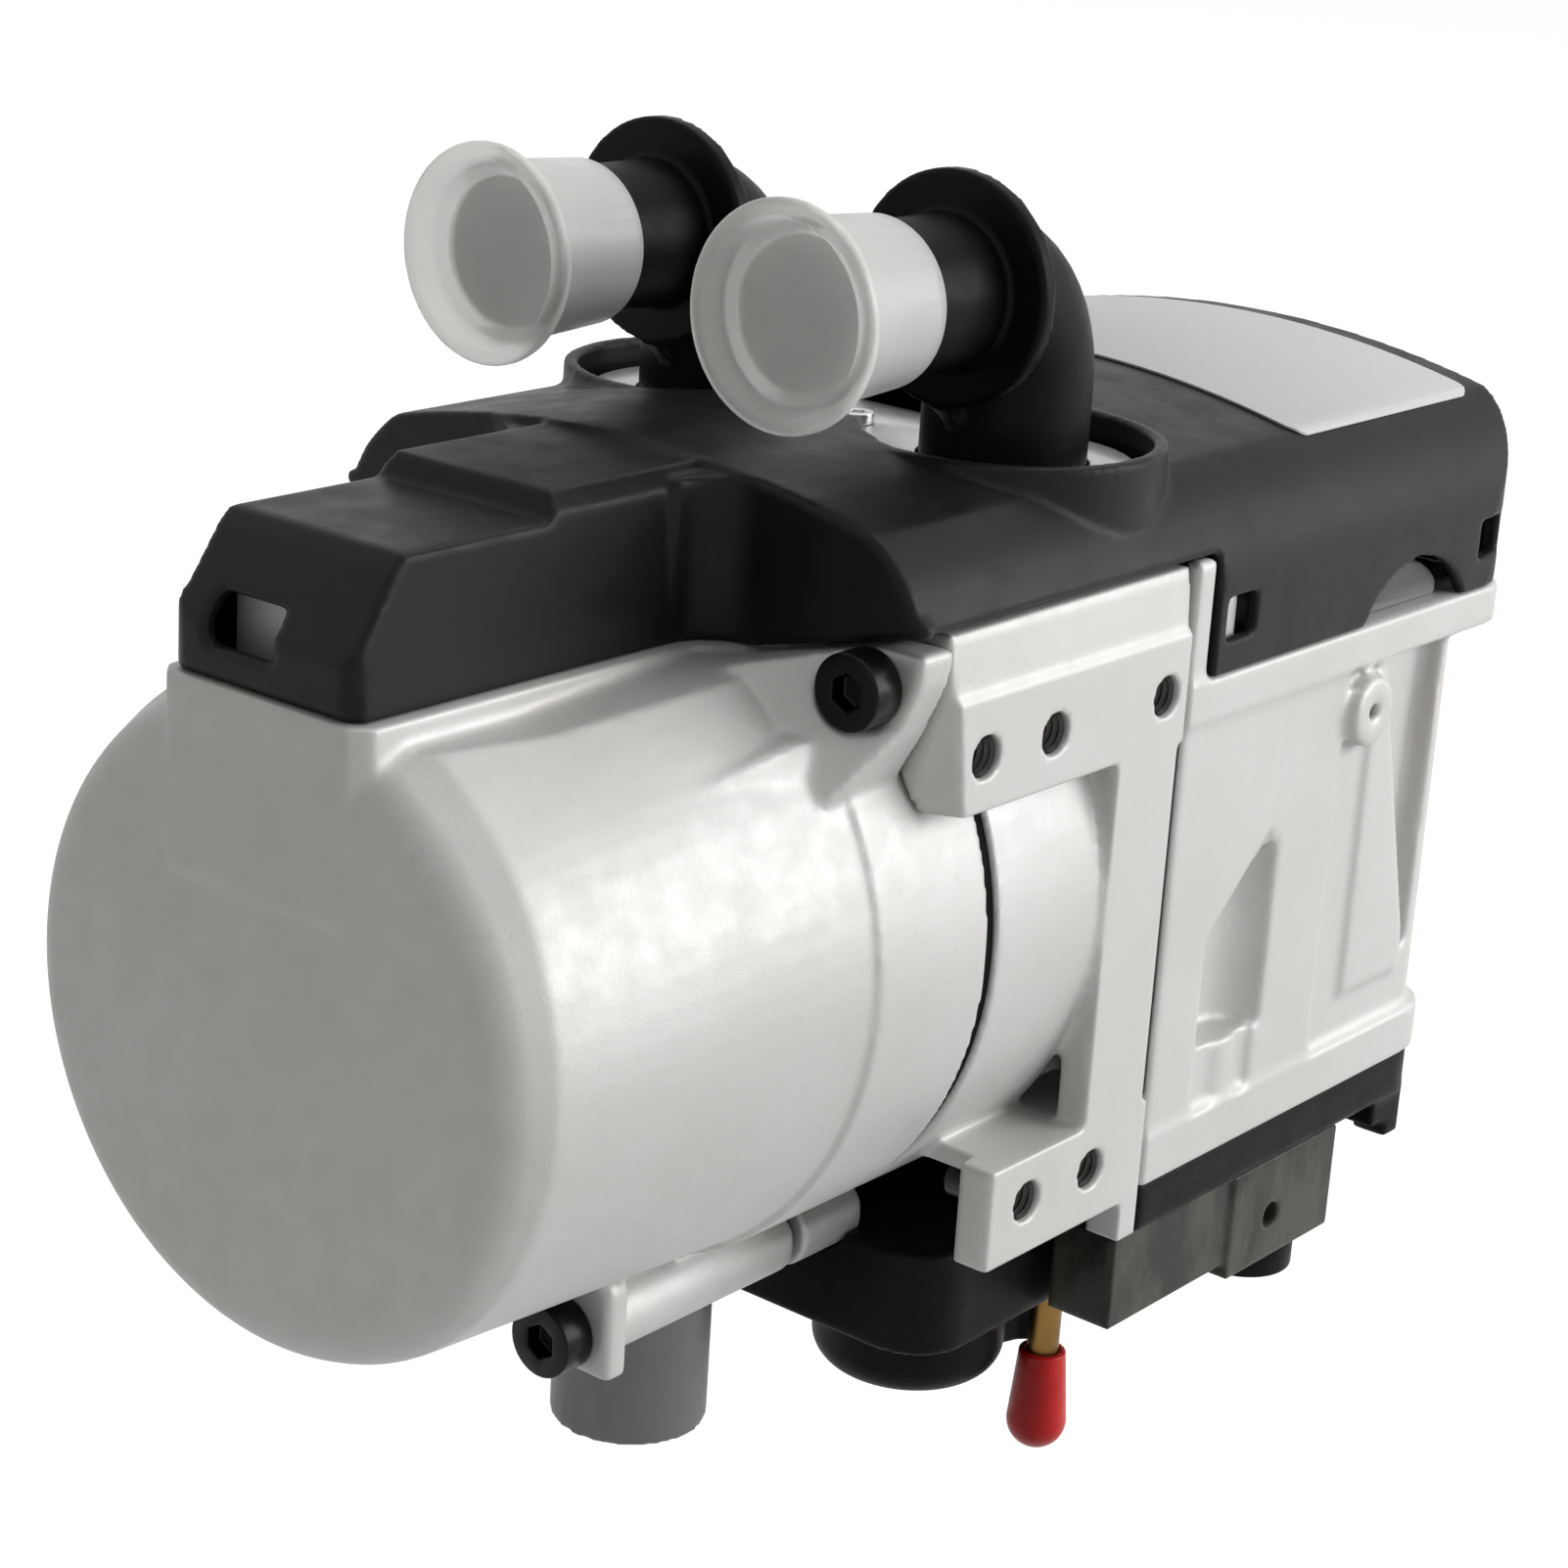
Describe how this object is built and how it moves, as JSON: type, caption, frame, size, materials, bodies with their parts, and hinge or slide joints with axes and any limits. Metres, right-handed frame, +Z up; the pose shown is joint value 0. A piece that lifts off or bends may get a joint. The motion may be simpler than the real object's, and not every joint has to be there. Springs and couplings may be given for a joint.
{
  "type": "hydronic parking heater",
  "caption": "Parking heater: cast water jacket, burner head with a flat mounting pad, blower housing under a black hood, turning water elbows with caps, and exhaust, air and fuel ports.",
  "frame": {"origin": "middle of the mounting pad's upper row of holes, on the pad's face", "axes": "+X from the water jacket towards the blower, +Z up, -Y out of the mounting pad"},
  "size_m": [0.2142, 0.1036, 0.1933],
  "materials": {
    "castings": "satin sand-cast and shot-blasted aluminium",
    "hood_plastic": "fine-grained black moulding",
    "elbow_plastic": "smooth black moulding",
    "cap_plastic": "translucent natural polyethylene",
    "base_plastic": "black moulding",
    "connector_plastic": "dark grey moulding",
    "grommet_rubber": "grey rubber",
    "seal_rubber": "black rubber",
    "label_paper": "plain pale sheet, bare",
    "black_steel": "black coated screws",
    "steel": "plain steel",
    "burner_steel": "heat-resistant steel",
    "exchanger": "cast aluminium",
    "motor_case": "grey coated steel",
    "impeller_plastic": "pale moulding",
    "board": "green circuit board",
    "brass": "turned brass",
    "red_plastic": "soft red vinyl"
  },
  "bodies": {
    "heater": {"water_jacket": "castings", "jacket_seal": "seal_rubber", "heat_exchanger": "exchanger", "combustion_tube": "burner_steel", "glow_plug": "burner_steel", "burner_head": "castings", "blower_housing": "castings", "base_cover": "base_plastic", "air_intake": "base_plastic", "connector_block": "connector_plastic", "round_socket": "base_plastic", "hood": "hood_plastic", "label_plate": "label_paper", "harness_grommet": "grommet_rubber", "control_board": "board", "board_posts": "castings", "retaining_plate": "steel", "retaining_screws": "steel", "temperature_sensor": "brass", "exhaust_stub": "castings", "jacket_screws": "black_steel", "motor_case": "motor_case", "motor_bearings": "steel", "fuel_nipple": "brass"},
    "rotor": {"motor_shaft": "steel", "impeller": "impeller_plastic"},
    "front_elbow": {"elbow_front": "elbow_plastic", "port_seal_front": "seal_rubber"},
    "rear_elbow": {"elbow_rear": "elbow_plastic", "port_seal_rear": "seal_rubber"},
    "front_cap": {"cap_front": "cap_plastic"},
    "rear_cap": {"cap_rear": "cap_plastic"},
    "red_cap": {"fuel_cap": "red_plastic"}
  },
  "joints": [
    {"name": "rotor_spin", "type": "hinge", "parent": "heater", "child": "rotor", "pos_m": [0.05865, 0.05, -0.0285], "axis": [1, 0, 0], "continuous": true},
    {"name": "front_elbow_turn", "type": "hinge", "parent": "heater", "child": "front_elbow", "pos_m": [0.01315, 0.025, 0.0245], "axis": [0, 0, 1], "range_deg": [0, 180]},
    {"name": "rear_elbow_turn", "type": "hinge", "parent": "heater", "child": "rear_elbow", "pos_m": [0.01315, 0.075, 0.0245], "axis": [0, 0, -1], "range_deg": [0, 180]},
    {"name": "front_cap_pull", "type": "slide", "parent": "front_elbow", "child": "front_cap", "axis": [-1, 0, 0], "range_m": [0, 0.03]},
    {"name": "rear_cap_pull", "type": "slide", "parent": "rear_elbow", "child": "rear_cap", "axis": [-1, 0, 0], "range_m": [0, 0.03]},
    {"name": "red_cap_pull", "type": "slide", "parent": "heater", "child": "red_cap", "axis": [0, 0, -1], "range_m": [0, 0.02]}
  ]
}
